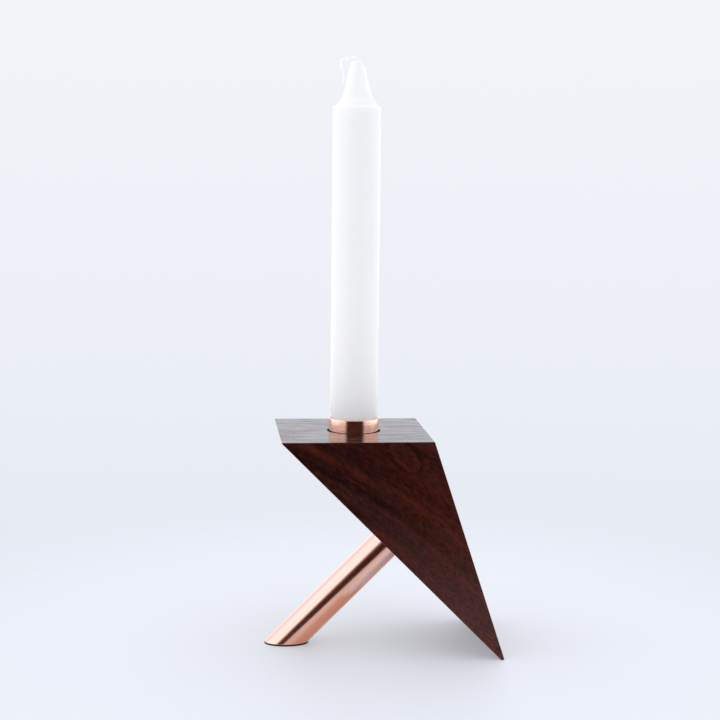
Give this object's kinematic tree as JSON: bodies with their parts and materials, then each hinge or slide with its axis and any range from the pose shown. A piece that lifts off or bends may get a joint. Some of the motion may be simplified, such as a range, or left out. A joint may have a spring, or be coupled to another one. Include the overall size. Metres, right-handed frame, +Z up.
{
  "type": "candlestick",
  "caption": "Wedge-shaped walnut candlestick on one slanted copper leg, with a copper cup in its level top holding a lift-out crown candle.",
  "frame": {"origin": "middle of the footprint at the height of the surface it stands on", "axes": "+Z up; +X from the copper leg's foot towards the wooden foot edge, along the triangular outline; +Y from the front face to the back face"},
  "size_m": [0.1098, 0.07, 0.2767],
  "materials": {
    "walnut": "oiled, satin",
    "copper_cup": "turned copper, fine lines around the axis",
    "copper_tube": "polished copper tube, slightly worn",
    "hardened_glue": "hardened clear amber glue",
    "black_pad": "matte black",
    "white_wax": "smooth white wax, satin",
    "wick_cotton": "waxed cotton braid"
  },
  "bodies": {
    "stand": {"wood_body": "walnut", "candle_cup": "copper_cup", "cup_glue": "hardened_glue", "support_leg": "copper_tube", "leg_glue": "hardened_glue", "leg_foot_pad": "black_pad"},
    "candle": {"candle_wax": "white_wax", "candle_wick": "wick_cotton"}
  },
  "joints": [
    {"name": "candle_lift", "type": "slide", "parent": "stand", "child": "candle", "axis": [0, 0, 1], "range_m": [0, 0.03]}
  ]
}
